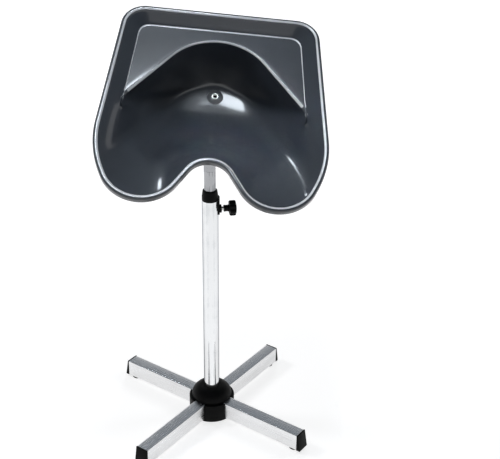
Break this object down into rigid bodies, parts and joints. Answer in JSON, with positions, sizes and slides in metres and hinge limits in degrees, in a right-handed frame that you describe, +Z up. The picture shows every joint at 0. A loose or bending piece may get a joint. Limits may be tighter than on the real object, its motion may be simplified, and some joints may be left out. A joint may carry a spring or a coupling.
{
  "type": "freestanding shampoo basin",
  "caption": "Freestanding shampoo basin: a tilting moulded bowl with a neck notch and rear tray, on a height-adjustable chrome pole with a cross foot.",
  "frame": {"origin": "point on the floor on the pole's axis", "axes": "+Z up along the pole, +Y towards the basin's rear edge, +X to the right of someone facing the neck notch"},
  "size_m": [0.4664, 0.4324, 0.9113],
  "materials": {
    "basin_shell": "gloss",
    "chrome_tube": "polished",
    "arm_steel": "satin",
    "black_plastic": "satin",
    "head_steel": "satin",
    "zinc_steel": "zinc plated",
    "guide_plastic": "natural",
    "seal_rubber": "matte"
  },
  "bodies": {
    "base": {"hub_core": "black_plastic", "hub_cover": "black_plastic", "arm_screws": "zinc_steel", "outer_tube": "chrome_tube", "pole_plug": "zinc_steel", "pole_washer": "zinc_steel", "pole_bolt": "zinc_steel", "height_collar": "black_plastic", "clamp_nut": "zinc_steel", "arm_1": "arm_steel", "arm_2": "arm_steel", "arm_3": "arm_steel", "arm_4": "arm_steel", "end_cap_1": "black_plastic", "end_cap_2": "black_plastic", "end_cap_3": "black_plastic", "end_cap_4": "black_plastic", "foot_1": "seal_rubber", "foot_2": "seal_rubber", "foot_3": "seal_rubber", "foot_4": "seal_rubber"},
    "clamp_shoe": {"clamp_shoe": "guide_plastic"},
    "clamp_knob": {"clamp_stud": "zinc_steel", "clamp_knob": "black_plastic"},
    "mast_guide": {"guide_bush": "guide_plastic"},
    "mast": {"inner_tube": "chrome_tube", "tube_foot": "guide_plastic", "stop_ring": "zinc_steel", "pole_head": "chrome_tube", "head_pin": "zinc_steel", "lean_bolt": "chrome_tube", "lean_washer": "zinc_steel", "lean_nut": "zinc_steel"},
    "lean_block": {"cross_block": "head_steel"},
    "basin": {"tilt_bracket": "head_steel", "bracket_screws": "zinc_steel", "tilt_bolt": "zinc_steel", "basin": "basin_shell", "drain_flange": "basin_shell", "drain_eyelet": "chrome_tube", "drain_gasket": "seal_rubber", "drain_nut": "black_plastic", "drain_spigot": "black_plastic"},
    "tilt_washer": {"tilt_washer": "zinc_steel"},
    "tilt_knob": {"tilt_knob": "black_plastic", "tilt_insert": "zinc_steel"}
  },
  "joints": [
    {"name": "height_slide", "type": "slide", "parent": "base", "child": "mast_guide", "axis": [0, 0, 1], "range_m": [-0.02, 0.27]},
    {"name": "mast_swivel", "type": "hinge", "parent": "mast_guide", "child": "mast", "pos_m": [0, 0, 0.18], "axis": [0, 0, 1], "continuous": true},
    {"name": "clamp_travel", "type": "slide", "parent": "base", "child": "clamp_shoe", "axis": [0.9877, 0.1564, 0], "range_m": [0, 0.00197]},
    {"name": "clamp_turn", "type": "hinge", "parent": "clamp_shoe", "child": "clamp_knob", "pos_m": [0.02963, 0.00469, 0.523], "axis": [0.9877, 0.1564, 0], "range_deg": [0, 570]},
    {"name": "side_lean", "type": "hinge", "parent": "mast", "child": "lean_block", "pos_m": [0, 0, 0.6295], "axis": [0, 1, 0], "range_deg": [-13, 3]},
    {"name": "basin_tilt", "type": "hinge", "parent": "lean_block", "child": "basin", "pos_m": [0.00139, 0, 0.64444], "axis": [0.9957, 0, -0.0924], "range_deg": [-40, 5]},
    {"name": "tilt_knob_travel", "type": "slide", "parent": "basin", "child": "tilt_washer", "axis": [0.9957, 0, -0.0924], "range_m": [0, 0.00138]},
    {"name": "tilt_knob_turn", "type": "hinge", "parent": "tilt_washer", "child": "tilt_knob", "pos_m": [0.02628, 0, 0.64213], "axis": [0.9957, 0, -0.0924], "range_deg": [0, 400]}
  ],
  "couplings": [
    {"joint": "clamp_turn", "follows": "clamp_travel", "rad_per_m": 5026.5},
    {"joint": "tilt_knob_turn", "follows": "tilt_knob_travel", "rad_per_m": 5026.5}
  ]
}
